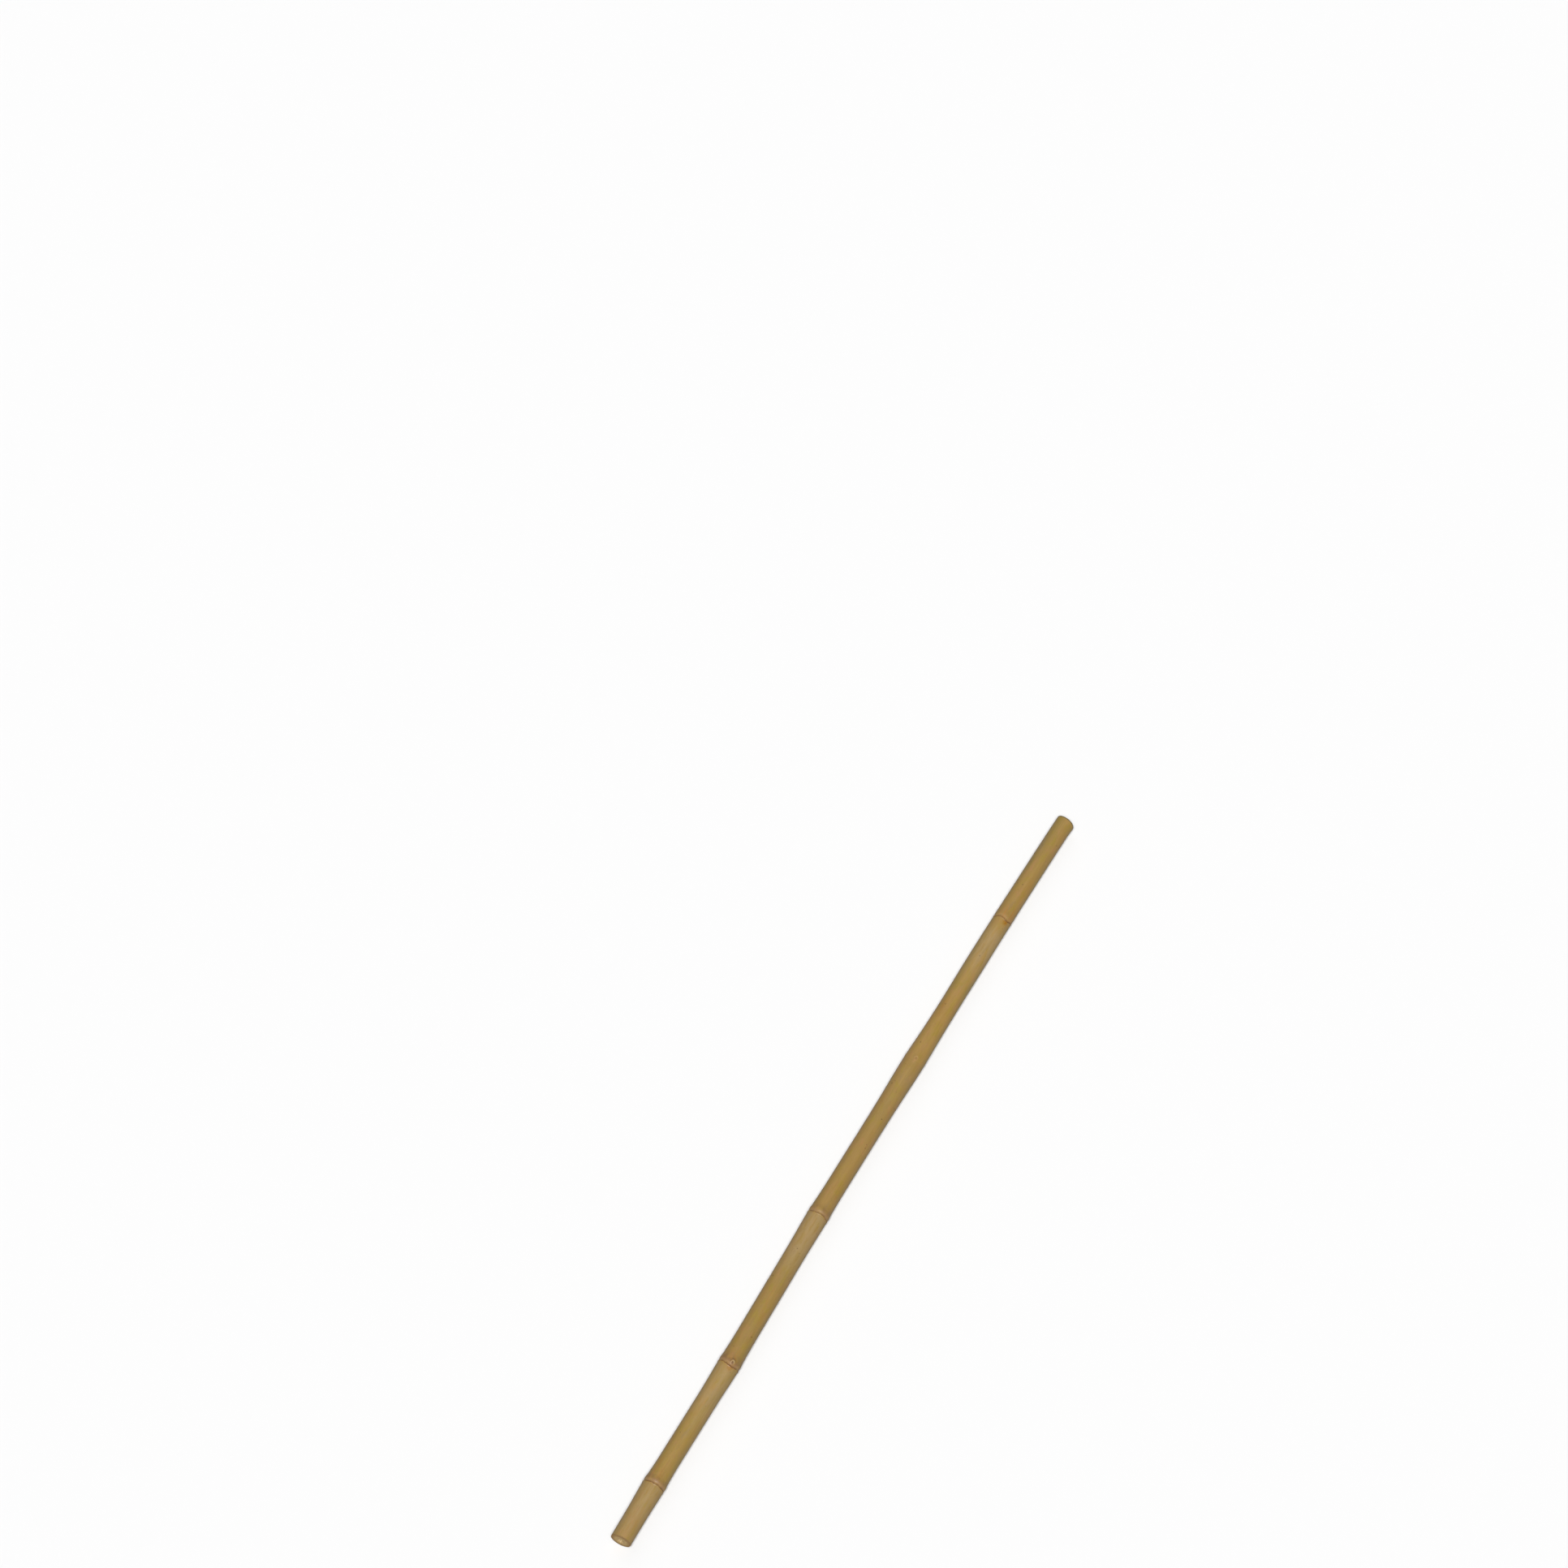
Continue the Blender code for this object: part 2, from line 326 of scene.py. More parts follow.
def vector_calc(tree, operation, *values):
    """A Vector Math node's vector."""
    node = tree.nodes.new("ShaderNodeVectorMath")
    node.operation = operation
    sockets = [node.inputs[0], node.inputs["Scale"]] if operation == "SCALE" else node.inputs
    for socket, value in zip(sockets, values):
        wire(tree, socket, value)
    return node.outputs[0]


def vector_of(tree, *values):
    """A vector from its parts."""
    node = tree.nodes.new("ShaderNodeCombineXYZ")
    for socket, value in zip(node.inputs, values):
        wire(tree, socket, value)
    return node.outputs[0]


def bell_of(tree, distance, width):
    """The same hump as bell, in nodes."""
    share = calc(tree, "DIVIDE", distance, width)
    return calc(tree, "EXPONENT", calc(tree, "MULTIPLY", calc(tree, "MULTIPLY", share, share), -1.0))


def ramp_of(tree, value, start, end):
    """0 at start to 1 at end, with level ends."""
    node = tree.nodes.new("ShaderNodeMapRange")
    node.interpolation_type = "SMOOTHSTEP"
    for name, given in (("Value", value), ("From Min", start), ("From Max", end)):
        wire(tree, node.inputs[name], given)
    return node.outputs[0]


def new_tree(name, kind, inputs, outputs):
    """A node group with named sockets, given as (name, socket type), and its two end nodes."""
    tree = bpy.data.node_groups.new(name, kind)
    for in_out, sockets in (("INPUT", inputs), ("OUTPUT", outputs)):
        for label, socket_type in sockets:
            tree.interface.new_socket(label, in_out=in_out, socket_type=socket_type)
    return tree, tree.nodes.new("NodeGroupInput"), tree.nodes.new("NodeGroupOutput")


def floats(names):
    """Float sockets for new_tree."""
    return [(name, "NodeSocketFloat") for name in names.split(",")]


def culm_node_group():
    """What one node does to the turned body: its shift along, its relief and its marks."""
    tree, given, result = new_tree(
        "culm_node", "GeometryNodeTree",
        floats("From Tip,Angle,Radius,Waviness,Place,Dip,Lobe,Bud Angle,Bud,Line,Line Width,Wax,"
               "Wax Start,Stain,Arch,Pit,Streaks,Dusk"),
        floats("Shift,Relief,Scar,Darkness,Lip,Bloom,Arch,Pit,Halo,Above,Dusk,Stain,Internode"),
    )
    value = given.outputs
    above = calc(tree, "SUBTRACT", value["Place"], value["From Tip"])
    turn = calc(tree, "WRAP", calc(tree, "SUBTRACT", value["Angle"], value["Bud Angle"]),
                math.pi, -math.pi)
    across = calc(tree, "MULTIPLY", turn, value["Radius"])
    beside_bud = bell_of(tree, across, BESIDE_BUD)

    dip = calc(tree, "MULTIPLY", bell_of(tree, turn, DIP_SPREAD), value["Dip"])
    past_bud = calc(tree, "SUBTRACT", turn, LOBE_TURN)
    both_dips = calc(tree, "MULTIPLY_ADD", bell_of(tree, past_bud, LOBE_SPREAD), value["Lobe"], dip)
    wander = calc(tree, "MULTIPLY", value["Waviness"], bell_of(tree, above, WAVES_REACH))
    shift = calc(tree, "MULTIPLY_ADD", both_dips, bell_of(tree, above, SLANT_REACH), wander)

    from_bud = calc(tree, "SUBTRACT", above, BUD_ABOVE)
    bud = calc(tree, "MULTIPLY", bell_of(tree, from_bud, BUD_LENGTH), bell_of(tree, across, BUD_WIDTH))
    along_sulcus = calc(tree, "MULTIPLY", ramp_of(tree, above, SULCUS_START, 2 * SULCUS_START),
                        ramp_of(tree, above, SULCUS_END, SULCUS_START))
    sulcus = calc(tree, "MULTIPLY", along_sulcus, bell_of(tree, across, SULCUS_WIDTH))
    off_bud = calc(tree, "ADD", from_bud, calc(tree, "MULTIPLY", value["Waviness"], 0.9))
    beside = calc(tree, "ADD", across, calc(tree, "MULTIPLY", value["Waviness"], -0.7))
    eye = calc(tree, "MULTIPLY", bell_of(tree, off_bud, EYE_LENGTH), bell_of(tree, beside, EYE_WIDTH))
    pit = calc(tree, "MULTIPLY", ramp_of(tree, eye, PIT_START, PIT_FULL), value["Pit"])
    eye_rim = bell_of(tree, calc(tree, "SUBTRACT", eye, RIM_LEVEL), RIM_BAND)
    upper_half = ramp_of(tree, off_bud, -0.7 * MM, 0.7 * MM)
    arch = calc(tree, "MULTIPLY", calc(tree, "MULTIPLY", eye_rim, value["Arch"]), upper_half)
    halo = calc(tree, "MULTIPLY", bell_of(tree, calc(tree, "SUBTRACT", eye, HALO_LEVEL), HALO_BAND),
                calc(tree, "POWER", value["Pit"], 3.0))
    stub = total(tree, bud, calc(tree, "MULTIPLY", pit, -PIT_SHARE),
                 calc(tree, "MULTIPLY", arch, RIM_SHARE))
    relief = calc(tree, "MULTIPLY_ADD", sulcus, -SULCUS_DEPTH,
                  calc(tree, "MULTIPLY", stub, value["Bud"]))

    darker = calc(tree, "MULTIPLY", calc(tree, "MULTIPLY_ADD", beside_bud, 0.4, 0.75), value["Line"])
    near = ramp_of(tree, calc(tree, "ABSOLUTE", above), LINE_END, LINE_FADE)
    lip = bell_of(tree, calc(tree, "SUBTRACT", above, LIP_ABOVE), LIP_WIDTH)
    below_bud = calc(tree, "ADD", above, STAIN_BELOW)
    stain = calc(tree, "MULTIPLY", bell_of(tree, below_bud, STAIN_LENGTH),
                 bell_of(tree, across, STAIN_WIDTH))
    wax_start = calc(tree, "MULTIPLY", value["Wax Start"], -1.0)
    bloom = calc(tree, "MULTIPLY", ramp_of(tree, above, -0.3 * MM, wax_start),
                 ramp_of(tree, above, -WAX_END, -WAX_FADE))
    streaks = calc(tree, "MULTIPLY", ramp_of(tree, above, -0.5 * MM, 0.5 * MM),
                   ramp_of(tree, above, STREAKS_END, STREAKS_FADE))
    dusk = calc(tree, "MULTIPLY", ramp_of(tree, above, -0.1 * MM, 0.6 * MM),
                ramp_of(tree, above, DUSK_END, DUSK_FADE))
    marks = {
        "Shift": shift,
        "Relief": relief,
        "Scar": bell_of(tree, above, value["Line Width"]),
        "Darkness": calc(tree, "MULTIPLY", near, darker),
        "Lip": calc(tree, "MULTIPLY", lip, value["Line"]),
        "Bloom": calc(tree, "MULTIPLY", bloom, value["Wax"]),
        "Arch": arch,
        "Pit": pit,
        "Halo": halo,
        "Above": calc(tree, "MULTIPLY", calc(tree, "MULTIPLY", streaks, value["Streaks"]),
                      calc(tree, "MULTIPLY_ADD", beside_bud, 0.75, 0.25)),
        "Dusk": calc(tree, "MULTIPLY", dusk, value["Dusk"]),
        "Stain": calc(tree, "MULTIPLY", stain, value["Stain"]),
        "Internode": ramp_of(tree, above, 0.6 * MM, -0.6 * MM),
    }
    for name, mark in marks.items():
        wire(tree, result.inputs[name], mark)
    return tree


def read_mark(tree, name):
    """A value that a geometry's points carry, in Geometry Nodes."""
    node = tree.nodes.new("GeometryNodeInputNamedAttribute")
    node.data_type = "FLOAT"
    wire(tree, node.inputs["Name"], name)
    return node.outputs["Attribute"]


def sampled(tree, line, name, index):
    """An attribute of the section line at a ring's index."""
    sample = tree.nodes.new("GeometryNodeSampleIndex")
    sample.data_type = "FLOAT"
    sample.domain = "POINT"
    tree.links.new(line, sample.inputs["Geometry"])
    tree.links.new(read_mark(tree, name), sample.inputs["Value"])
    tree.links.new(index, sample.inputs["Index"])
    return sample.outputs[0]


def noise_of(tree, vector, scale, detail=2.0, roughness=0.5):
    """A noise texture's value, 0 to 1, on coordinates stretched by a scale for each axis."""
    noise = tree.nodes.new("ShaderNodeTexNoise")
    noise.inputs["Scale"].default_value = 1.0
    noise.inputs["Detail"].default_value = detail
    noise.inputs["Roughness"].default_value = roughness
    tree.links.new(vector_calc(tree, "MULTIPLY", vector, scale), noise.inputs["Vector"])
    return noise.outputs[0]


def stored(tree, geometry, name, value):
    """The geometry with a value kept on its points."""
    node = tree.nodes.new("GeometryNodeStoreNamedAttribute")
    node.data_type = "FLOAT"
    node.domain = "POINT"
    node.inputs["Name"].default_value = name
    tree.links.new(geometry, node.inputs["Geometry"])
    tree.links.new(value, node.inputs["Value"])
    return node.outputs["Geometry"]


def culm_tree(materials):
    """Turns the half section into a tube, shapes its nodes, bends it and lays it down."""
    tree, given, result = new_tree(
        "grow_culm", "GeometryNodeTree",
        [("Section", "NodeSocketObject"), ("Sides", "NodeSocketInt"), ("Rings", "NodeSocketInt"),
         ("Length", "NodeSocketFloat"), ("Unevenness", "NodeSocketFloat")],
        [("Geometry", "NodeSocketGeometry")],
    )
    section = tree.nodes.new("GeometryNodeObjectInfo")
    tree.links.new(given.outputs["Section"], section.inputs["Object"])
    line = section.outputs["Geometry"]
    tube = tree.nodes.new("GeometryNodeMeshCylinder")
    tube.fill_type = "NONE"
    tree.links.new(given.outputs["Sides"], tube.inputs["Vertices"])
    steps = calc(tree, "SUBTRACT", given.outputs["Rings"], 1.0)
    tree.links.new(steps, tube.inputs["Side Segments"])
    tube.inputs["Radius"].default_value = 1.0
    tube.inputs["Depth"].default_value = 1.0

    place = tree.nodes.new("ShaderNodeSeparateXYZ")
    position = tree.nodes.new("GeometryNodeInputPosition")
    tree.links.new(position.outputs[0], place.inputs[0])
    angle = calc(tree, "ARCTAN2", place.outputs["Y"], place.outputs["X"])
    share = calc(tree, "ADD", place.outputs["Z"], 0.5)
    ring = calc(tree, "ROUND", calc(tree, "MULTIPLY", share, steps))
    from_tip = sampled(tree, line, "from_tip", ring)
    radius = sampled(tree, line, "radius", ring)
    zone = sampled(tree, line, "zone", ring)
    offset = sampled(tree, line, "offset", ring)
    height = sampled(tree, line, "height", ring)
    on_skin = ramp_of(tree, radius, BUTT_LUMEN_RADIUS, 2 * BUTT_LUMEN_RADIUS)

    round_x = calc(tree, "COSINE", angle)
    round_y = calc(tree, "SINE", angle)
    spot = vector_of(tree, calc(tree, "MULTIPLY", from_tip, 1 / MM),
                     calc(tree, "MULTIPLY", round_x, BUTT_RADIUS / MM),
                     calc(tree, "MULTIPLY", round_y, BUTT_RADIUS / MM))
    unscaled = calc(tree, "SUBTRACT", noise_of(tree, spot, (0.02, 0.42, 0.42), 3.0, 0.6), 0.5)
    waves = calc(tree, "MULTIPLY", unscaled, SCAR_WAVES)

    shape = culm_node_group()
    sums = dict.fromkeys(output.name for output in shape.interface.items_tree
                         if output.in_out == "OUTPUT")
    for node, mark in zip(NODES, MARKS):
        part = tree.nodes.new("GeometryNodeGroup")
        part.node_tree = shape
        settings = {"From Tip": from_tip, "Angle": angle, "Radius": radius, "Waviness": waves,
                    "Place": node.from_tip, "Dip": node.dip, "Lobe": node.lobe, "Bud": node.bud,
                    "Bud Angle": math.radians(node.bud_angle), "Line": mark.line,
                    "Line Width": mark.line_width, "Wax": mark.wax,
                    "Wax Start": mark.wax_start, "Stain": mark.stain, "Arch": mark.arch,
                    "Pit": mark.pit, "Streaks": mark.streaks, "Dusk": mark.dusk}
        for name, setting in settings.items():
            wire(tree, part.inputs[name], setting)
        for name in sums:
            sums[name] = calc(tree, "ADD", sums[name] or 0.0, part.outputs[name])

    ripple = calc(tree, "SUBTRACT", noise_of(tree, spot, (0.05, 0.35, 0.35)), 0.5)
    flutes = calc(tree, "SUBTRACT", noise_of(tree, spot, (0.012, 1.1, 1.1)), 0.5)
    chips = calc(tree, "SUBTRACT", noise_of(tree, spot, (1.6, 1.1, 1.1), 3.0), 0.5)
    torn = calc(tree, "MULTIPLY", sums["Scar"], sums["Darkness"])
    ragged = calc(tree, "MULTIPLY", calc(tree, "MULTIPLY", chips, torn), TORN_DEPTH)
    uneven = calc(tree, "MULTIPLY", total(tree, ripple, calc(tree, "MULTIPLY", flutes, 0.6)),
                  given.outputs["Unevenness"])
    one_side = calc(tree, "MULTIPLY", ramp_of(tree, from_tip, FLARE_REACH, 0.0),
                    ramp_of(tree, round_x, 0.2, -0.9))
    flare = calc(tree, "MULTIPLY", one_side, TIP_FLARE)
    relief = calc(tree, "MULTIPLY", total(tree, sums["Relief"], ragged, uneven, flare), on_skin)
    full_radius = calc(tree, "ADD", radius, relief)
    across = calc(tree, "MULTIPLY", full_radius, round_x)
    rise = calc(tree, "MULTIPLY", full_radius, round_y)

    to_butt = calc(tree, "SUBTRACT", given.outputs["Length"], from_tip)
    near_tip = ramp_of(tree, from_tip, CUT_FADE, 0.0)
    near_butt = ramp_of(tree, to_butt, CUT_FADE, 0.0)
    turn = calc(tree, "ADD", calc(tree, "MULTIPLY", near_tip, math.tan(TIP_CUT_ANGLE)),
                calc(tree, "MULTIPLY", near_butt, math.tan(BUTT_CUT_ANGLE)))
    lean = calc(tree, "MULTIPLY", near_tip, math.tan(TIP_CUT_LEAN))
    slant = calc(tree, "MULTIPLY_ADD", rise, lean, calc(tree, "MULTIPLY", across, turn))
    shift = calc(tree, "MULTIPLY", sums["Shift"], on_skin)
    middle = calc(tree, "MULTIPLY", given.outputs["Length"], 0.5)
    along = total(tree, calc(tree, "SUBTRACT", middle, from_tip), slant,
                  calc(tree, "MULTIPLY", shift, -1.0))
    final = vector_of(tree, along, calc(tree, "ADD", offset, across),
                      calc(tree, "MAXIMUM", calc(tree, "ADD", height, rise), 0.0))

    geometry = tube.outputs["Mesh"]
    on_cut = calc(tree, "COMPARE", zone, CUT_ZONE, 0.3)
    marks = {name.lower(): mark for name, mark in sums.items() if name not in ("Shift", "Relief")}
    marks.update({
        "zone": zone,
        "torn": torn,
        "across": across,
        "rise": rise,
        "near_cut": total(tree, bell_of(tree, from_tip, TIP_SOIL), bell_of(tree, to_butt, BUTT_SOIL)),
        "frayed": calc(tree, "MULTIPLY", on_cut, ramp_of(tree, radius, FRAY_START, FRAY_FULL)),
    })
    for name, mark in marks.items():
        geometry = stored(tree, geometry, name, mark)
    move = tree.nodes.new("GeometryNodeSetPosition")
    tree.links.new(geometry, move.inputs["Geometry"])
    tree.links.new(final, move.inputs["Position"])
    weld = tree.nodes.new("GeometryNodeMergeByDistance")
    weld.inputs["Distance"].default_value = 0.000001
    tree.links.new(move.outputs[0], weld.inputs["Geometry"])
    outward = tree.nodes.new("GeometryNodeFlipFaces")
    tree.links.new(weld.outputs[0], outward.inputs["Mesh"])
    geometry = outward.outputs[0]
    kept_zone = read_mark(tree, "zone")
    for material, lowest in zip(materials, ZONE_STARTS):
        chosen = calc(tree, "GREATER_THAN", kept_zone, lowest)
        paint = tree.nodes.new("GeometryNodeSetMaterial")
        paint.inputs["Material"].default_value = material
        tree.links.new(geometry, paint.inputs["Geometry"])
        tree.links.new(chosen, paint.inputs["Selection"])
        geometry = paint.outputs[0]
    tree.links.new(geometry, result.inputs["Geometry"])
    return tree


def set_inputs(modifier, **values):
    """Sets a Geometry Nodes modifier's inputs by the names of their sockets."""
    for item in modifier.node_group.interface.items_tree:
        if item.in_out == "INPUT" and item.name in values:
            modifier[item.identifier] = values[item.name]


def finished_mesh(source, name):
    """The evaluated object as a new plain mesh object; the source and its modifiers go."""
    graph = bpy.context.evaluated_depsgraph_get()
    mesh = bpy.data.meshes.new_from_object(source.evaluated_get(graph))
    mesh.name = name
    bpy.data.objects.remove(source)
    piece = bpy.data.objects.new(name, mesh)
    bpy.context.scene.collection.objects.link(piece)
    return piece


def carrier(name):
    """An empty mesh object to hang a Geometry Nodes modifier on."""
    source = bpy.data.objects.new(name, bpy.data.meshes.new(name))
    bpy.context.scene.collection.objects.link(source)
    return source


def colour_mix(tree, share, one, other):
    """Two colours mixed by a share of the other one."""
    node = tree.nodes.new("ShaderNodeMix")
    node.data_type = "RGBA"
    wire(tree, node.inputs[0], share)
    wire(tree, node.inputs[6], one)
    wire(tree, node.inputs[7], other)
    return node.outputs[2]


def srgb(red, green, blue):
    """A colour given as it looks on screen, 0 to 255, as the linear one that Blender takes."""
    shares = [value / 255 for value in (red, green, blue)]
    linear = [s / 12.92 if s <= 0.04045 else ((s + 0.055) / 1.055) ** 2.4 for s in shares]
    return (*linear, 1.0)


def kept_mark(tree, name):
    """A value that a piece's points carry, in a material."""
    node = tree.nodes.new("ShaderNodeAttribute")
    node.attribute_name = name
    return node.outputs["Fac"]


def object_mm(tree):
    """Object coordinates in millimetres."""
    coordinates = tree.nodes.new("ShaderNodeTexCoord")
    return vector_calc(tree, "SCALE", coordinates.outputs["Object"], 1 / MM)


def new_material(name):
    """A material with its node tree and its Principled BSDF."""
    material = bpy.data.materials.new(name)
    material.use_nodes = True
    tree = material.node_tree
    return material, tree, tree.nodes["Principled BSDF"]


def bumped(tree, height, distance):
    """A normal from a height."""
    bump = tree.nodes.new("ShaderNodeBump")
    bump.inputs["Distance"].default_value = distance
    tree.links.new(height, bump.inputs["Height"])
    return bump.outputs["Normal"]


def fibre_group():
    """Bamboo's grain: broad and fine streaks along X, each from 0 to 1, and a height from both."""
    tree, given, result = new_tree(
        "fibres", "ShaderNodeTree",
        [("Vector", "NodeSocketVector")], floats("Broad,Fine,Height"))
    vector = given.outputs["Vector"]
    broad = noise_of(tree, vector, (0.03, 1.3, 1.3), 3.0)
    fine = ramp_of(tree, noise_of(tree, vector, (0.09, 6.5, 6.5), 4.0, 0.65), 0.28, 0.72)
    wire(tree, result.inputs["Broad"], broad)
    wire(tree, result.inputs["Fine"], fine)
    wire(tree, result.inputs["Height"], calc(tree, "MULTIPLY_ADD", broad, 0.6, fine))
    return tree


def speck_group():
    """Small dark specks at random places: 1 in a speck, and 0 outside."""
    tree, given, result = new_tree(
        "specks", "ShaderNodeTree",
        [("Vector", "NodeSocketVector"), *floats("Density,Size,Share,Raggedness")], floats("Specks"))
    spot = vector_calc(tree, "SCALE", given.outputs["Vector"], given.outputs["Density"])
    cells = tree.nodes.new("ShaderNodeTexVoronoi")
    cells.inputs["Scale"].default_value = 1.0
    tree.links.new(spot, cells.inputs["Vector"])
    chosen = tree.nodes.new("ShaderNodeSeparateColor")
    tree.links.new(cells.outputs["Color"], chosen.inputs[0])
    ragged = calc(tree, "SUBTRACT", noise_of(tree, spot, (7.0, 7.0, 7.0), 2.0), 0.5)
    ragged = calc(tree, "MULTIPLY_ADD", ragged, given.outputs["Raggedness"], 1.0)
    size = calc(tree, "MULTIPLY_ADD", chosen.outputs[1], 0.7, 0.3)
    size = calc(tree, "MULTIPLY", given.outputs["Size"], calc(tree, "MULTIPLY", size, ragged))
    inside = ramp_of(tree, cells.outputs["Distance"], size, calc(tree, "MULTIPLY", size, 0.5))
    present = calc(tree, "LESS_THAN", chosen.outputs[0], given.outputs["Share"])
    wire(tree, result.inputs["Specks"], calc(tree, "MULTIPLY", inside, present))
    return tree


def placed_group(tree, group, **settings):
    """A group in a material, with its inputs set or fed by name."""
    node = tree.nodes.new("ShaderNodeGroup")
    node.node_tree = group
    for name, setting in settings.items():
        wire(tree, node.inputs[name.replace("_", " ")], setting)
    return node.outputs


fibres = fibre_group()
specks = speck_group()

GOLDEN = srgb(160, 128, 68)
TAN = srgb(146, 117, 64)
OLIVE = srgb(142, 122, 61)
OCHRE = srgb(156, 115, 54)
GREYED = srgb(138, 118, 80)
MOSS_YELLOW = srgb(150, 126, 50)
ROSE_TAN = srgb(162, 122, 76)
WAX_PINK = srgb(161, 135, 91)
SCAR_BROWN = srgb(100, 60, 24)
DUSK_BROWN = srgb(120, 88, 62)
LIP_PINK = srgb(162, 127, 88)
MOULD_GREY = srgb(104, 88, 62)
STREAK_ORANGE = srgb(166, 112, 46)
STAIN_ORANGE = srgb(152, 100, 14)
SPECK_BROWN = srgb(72, 48, 26)
EYE_PALE = srgb(192, 166, 116)
EYE_BROWN = srgb(84, 54, 32)
RIM_GREEN = srgb(100, 88, 56)
Blotch = namedtuple("Blotch", "noise start full most tone")


def bamboo_skin():
    """Dried bamboo skin: golden tan, satin, streaked along the grain, waxy below each node."""
    material, tree, shader = new_material("bamboo_skin")
    spot = object_mm(tree)
    grain = placed_group(tree, fibres, Vector=spot)
    stretch = kept_mark(tree, "internode")
    own_tone = tree.nodes.new("ShaderNodeTexWhiteNoise")
    own_tone.noise_dimensions = "1D"
    tree.links.new(stretch, own_tone.inputs["W"])
    drift = noise_of(tree, spot, (0.012, 0.10, 0.10), 2.0)
    patches = noise_of(tree, spot, (0.035, 0.16, 0.16), 3.0, 0.6)
    clouds = noise_of(tree, spot, (0.10, 0.24, 0.24), 3.0, 0.6)
    olive_share = calc(tree, "MULTIPLY", ramp_of(tree, drift, 0.40, 0.66), 0.75)
    colour = colour_mix(tree, olive_share, GOLDEN, OLIVE)
    tone = calc(tree, "MULTIPLY", own_tone.outputs["Value"], 0.6)
    colour = colour_mix(tree, tone, colour, TAN)
    blotches = (
        Blotch(patches, 0.52, 0.74, 0.55, OCHRE),
        Blotch(patches, 0.46, 0.24, 0.6, GREYED),
        Blotch(clouds, 0.52, 0.68, 0.6, MOSS_YELLOW),
        Blotch(clouds, 0.46, 0.30, 0.6, ROSE_TAN),
    )
    for blotch in blotches:
        inside = ramp_of(tree, blotch.noise, blotch.start, blotch.full)
        colour = colour_mix(tree, calc(tree, "MULTIPLY", inside, blotch.most), colour, blotch.tone)

    bloom_edge = noise_of(tree, spot, (0.10, 0.45, 0.45), 3.0, 0.6)
    bloom = calc(tree, "MULTIPLY", kept_mark(tree, "bloom"), ramp_of(tree, bloom_edge, 0.25, 0.6))
    colour = colour_mix(tree, bloom, colour, WAX_PINK)

    streaks = calc(tree, "MULTIPLY", kept_mark(tree, "above"), ramp_of(tree, grain["Broad"], 0.45, 0.62))
    colour = colour_mix(tree, calc(tree, "MULTIPLY", streaks, 0.6), colour, STREAK_ORANGE)
    shaded = ramp_of(tree, noise_of(tree, spot, (0.22, 0.32, 0.32), 3.0), 0.34, 0.62)
    dusk = calc(tree, "MULTIPLY", kept_mark(tree, "dusk"), shaded)
    colour = colour_mix(tree, dusk, colour, DUSK_BROWN)
    colour = colour_mix(tree, kept_mark(tree, "arch"), colour, EYE_PALE)
    brown = calc(tree, "MULTIPLY_ADD", kept_mark(tree, "halo"), 0.6, kept_mark(tree, "pit"))
    colour = colour_mix(tree, calc(tree, "MULTIPLY", brown, 0.8), colour, EYE_BROWN)
    patchy = ramp_of(tree, noise_of(tree, spot, (0.9, 0.8, 0.8), 3.0), 0.2, 0.5)
    stain = calc(tree, "MULTIPLY", kept_mark(tree, "stain"), patchy)
    colour = colour_mix(tree, stain, colour, STAIN_ORANGE)

    light = calc(tree, "MULTIPLY_ADD", grain["Broad"], 0.20, 0.895)
    light = calc(tree, "MULTIPLY", light, calc(tree, "MULTIPLY_ADD", grain["Fine"], 0.14, 0.93))
    colour = vector_calc(tree, "SCALE", colour, light)

    broken = ramp_of(tree, noise_of(tree, spot, (0.5, 0.45, 0.45), 3.0), 0.28, 0.56)
    broken = calc(tree, "MAXIMUM", broken, calc(tree, "MULTIPLY", kept_mark(tree, "stain"), 1.3))
    colour = colour_mix(tree, calc(tree, "MULTIPLY", kept_mark(tree, "lip"), 0.45), colour, LIP_PINK)
    crisp = noise_of(tree, spot, (3.0, 3.0, 3.0), 3.0)
    line = ramp_of(tree, calc(tree, "MULTIPLY_ADD", crisp, 0.4, kept_mark(tree, "scar")), 0.60, 1.05)
    scar = calc(tree, "MULTIPLY", calc(tree, "MULTIPLY", line, broken), kept_mark(tree, "darkness"))
    colour = colour_mix(tree, scar, colour, SCAR_BROWN)

    mouldy = ramp_of(tree, noise_of(tree, spot, (0.05, 0.22, 0.22), 2.0), 0.54, 0.72)
    haze = noise_of(tree, spot, (0.9, 1.6, 1.6), 4.0, 0.7)
    haze = calc(tree, "MULTIPLY", ramp_of(tree, haze, 0.50, 0.68), mouldy)
    colour = colour_mix(tree, calc(tree, "MULTIPLY", haze, 0.35), colour, MOULD_GREY)
    dots = placed_group(tree, specks, Vector=spot, Density=0.42, Size=0.24, Share=0.16,
                        Raggedness=2.2)["Specks"]
    dust = placed_group(tree, specks, Vector=spot, Density=1.9, Size=0.26, Share=0.30,
                        Raggedness=2.0)["Specks"]
    dusty = calc(tree, "MULTIPLY_ADD", dusk, 0.7, calc(tree, "MULTIPLY_ADD", mouldy, 0.75, 0.06))
    dust = calc(tree, "MULTIPLY", dust, dusty)
    long_spot = vector_calc(tree, "MULTIPLY", spot, (0.16, 1.0, 1.0))
    dashes = placed_group(tree, specks, Vector=long_spot, Density=2.4, Size=0.24, Share=0.16,
                          Raggedness=1.0)["Specks"]
    dark = calc(tree, "MAXIMUM", calc(tree, "MULTIPLY", dots, 0.7), calc(tree, "MULTIPLY", dust, 0.6))
    dark = calc(tree, "MAXIMUM", dark, calc(tree, "MULTIPLY", dashes, 0.22))
